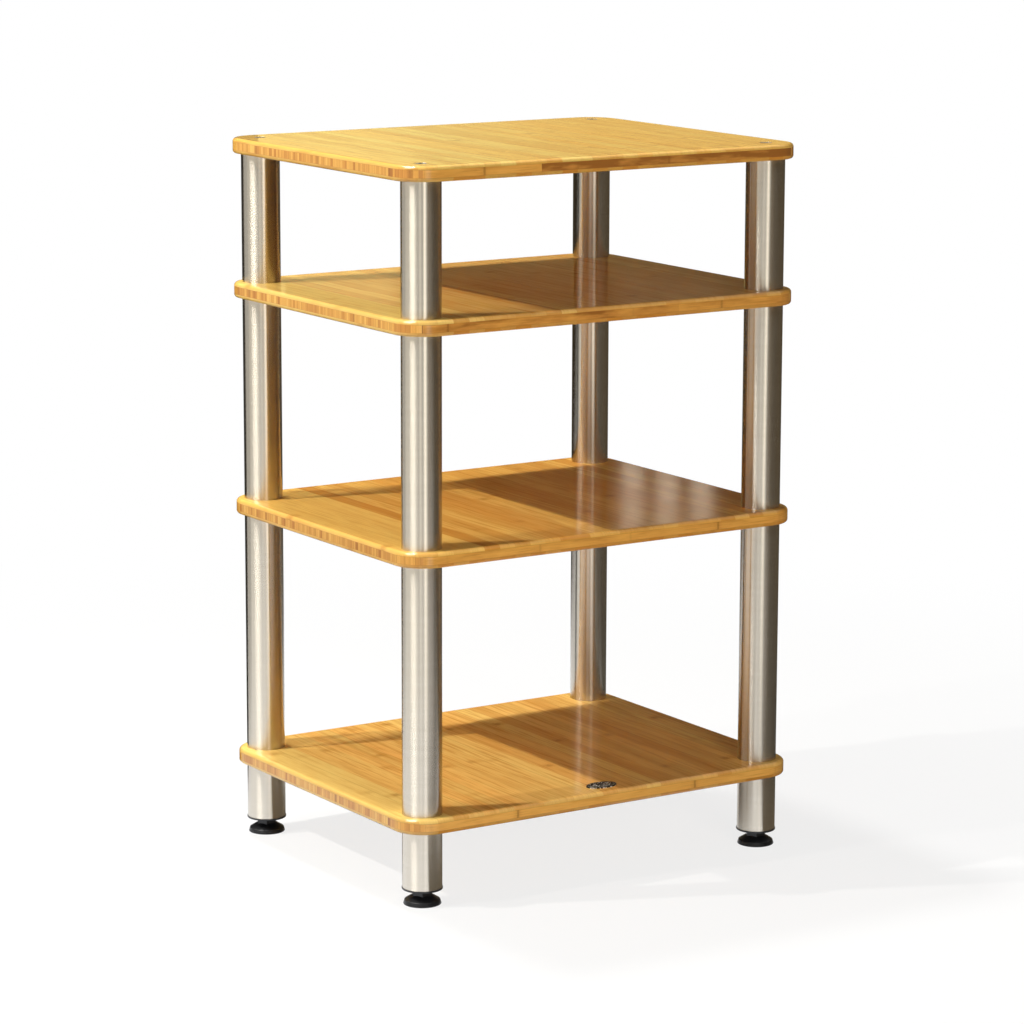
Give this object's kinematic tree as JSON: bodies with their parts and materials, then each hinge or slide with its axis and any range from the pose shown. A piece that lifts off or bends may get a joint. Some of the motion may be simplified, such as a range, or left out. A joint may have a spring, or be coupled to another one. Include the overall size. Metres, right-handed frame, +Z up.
{
  "type": "audio equipment rack",
  "caption": "Free-standing audio rack with rounded bamboo shelves on sectional brushed steel tube posts and black levelling feet.",
  "frame": {"origin": "on the floor, under the middle of the boards", "axes": "+Z up, +X along the long side of the boards to the right seen from the front, +Y to the back"},
  "size_m": [0.6, 0.48, 0.94],
  "materials": {
    "bamboo": "satin clear lacquer",
    "brushed_stainless": "brushed round the tube",
    "black_plastic": "moulded",
    "zinc_steel": "zinc plated",
    "bolt_steel": "satin"
  },
  "bodies": {
    "frame": {"base_shelf": "bamboo", "lower_shelf": "bamboo", "upper_shelf": "bamboo", "top_shelf": "bamboo", "top_tube_front_left": "brushed_stainless", "top_tube_front_right": "brushed_stainless", "top_tube_rear_left": "brushed_stainless", "top_tube_rear_right": "brushed_stainless", "middle_tube_front_left": "brushed_stainless", "middle_tube_front_right": "brushed_stainless", "middle_tube_rear_left": "brushed_stainless", "middle_tube_rear_right": "brushed_stainless", "lower_tube_front_left": "brushed_stainless", "lower_tube_front_right": "brushed_stainless", "lower_tube_rear_left": "brushed_stainless", "lower_tube_rear_right": "brushed_stainless", "leg_tube_front_left": "brushed_stainless", "leg_tube_front_right": "brushed_stainless", "leg_tube_rear_left": "brushed_stainless", "leg_tube_rear_right": "brushed_stainless", "top_tube_upper_inserts": "zinc_steel", "top_tube_lower_inserts": "zinc_steel", "middle_tube_upper_inserts": "zinc_steel", "middle_tube_lower_inserts": "zinc_steel", "lower_tube_upper_inserts": "zinc_steel", "lower_tube_lower_inserts": "zinc_steel", "leg_tube_upper_inserts": "zinc_steel", "base_shelf_studs": "zinc_steel", "lower_shelf_studs": "zinc_steel", "upper_shelf_studs": "zinc_steel", "top_shelf_bolts": "bolt_steel", "foot_nuts": "zinc_steel", "foot_plug_front_left": "black_plastic", "foot_plug_front_right": "black_plastic", "foot_plug_rear_left": "black_plastic", "foot_plug_rear_right": "black_plastic"},
    "foot_stem_front_left": {"foot_stem_front_left": "zinc_steel"},
    "foot_pad_front_left": {"foot_pad_front_left": "black_plastic"},
    "foot_stem_front_right": {"foot_stem_front_right": "zinc_steel"},
    "foot_pad_front_right": {"foot_pad_front_right": "black_plastic"},
    "foot_stem_rear_left": {"foot_stem_rear_left": "zinc_steel"},
    "foot_pad_rear_left": {"foot_pad_rear_left": "black_plastic"},
    "foot_stem_rear_right": {"foot_stem_rear_right": "zinc_steel"},
    "foot_pad_rear_right": {"foot_pad_rear_right": "black_plastic"}
  },
  "joints": [
    {"name": "foot_travel_front_left", "type": "slide", "parent": "frame", "child": "foot_stem_front_left", "axis": [0, 0, -1], "range_m": [0, 0.015]},
    {"name": "foot_turn_front_left", "type": "hinge", "parent": "foot_stem_front_left", "child": "foot_pad_front_left", "pos_m": [-0.262, -0.202, 0.01], "axis": [0, 0, -1], "range_deg": [0, 3600]},
    {"name": "foot_travel_front_right", "type": "slide", "parent": "frame", "child": "foot_stem_front_right", "axis": [0, 0, -1], "range_m": [0, 0.015]},
    {"name": "foot_turn_front_right", "type": "hinge", "parent": "foot_stem_front_right", "child": "foot_pad_front_right", "pos_m": [0.262, -0.202, 0.01], "axis": [0, 0, -1], "range_deg": [0, 3600]},
    {"name": "foot_travel_rear_left", "type": "slide", "parent": "frame", "child": "foot_stem_rear_left", "axis": [0, 0, -1], "range_m": [0, 0.015]},
    {"name": "foot_turn_rear_left", "type": "hinge", "parent": "foot_stem_rear_left", "child": "foot_pad_rear_left", "pos_m": [-0.262, 0.202, 0.01], "axis": [0, 0, -1], "range_deg": [0, 3600]},
    {"name": "foot_travel_rear_right", "type": "slide", "parent": "frame", "child": "foot_stem_rear_right", "axis": [0, 0, -1], "range_m": [0, 0.015]},
    {"name": "foot_turn_rear_right", "type": "hinge", "parent": "foot_stem_rear_right", "child": "foot_pad_rear_right", "pos_m": [0.262, 0.202, 0.01], "axis": [0, 0, -1], "range_deg": [0, 3600]}
  ],
  "couplings": [
    {"joint": "foot_travel_front_left", "follows": "foot_turn_front_left", "m_per_rad": 0.00023873},
    {"joint": "foot_travel_front_right", "follows": "foot_turn_front_right", "m_per_rad": 0.00023873},
    {"joint": "foot_travel_rear_left", "follows": "foot_turn_rear_left", "m_per_rad": 0.00023873},
    {"joint": "foot_travel_rear_right", "follows": "foot_turn_rear_right", "m_per_rad": 0.00023873}
  ]
}
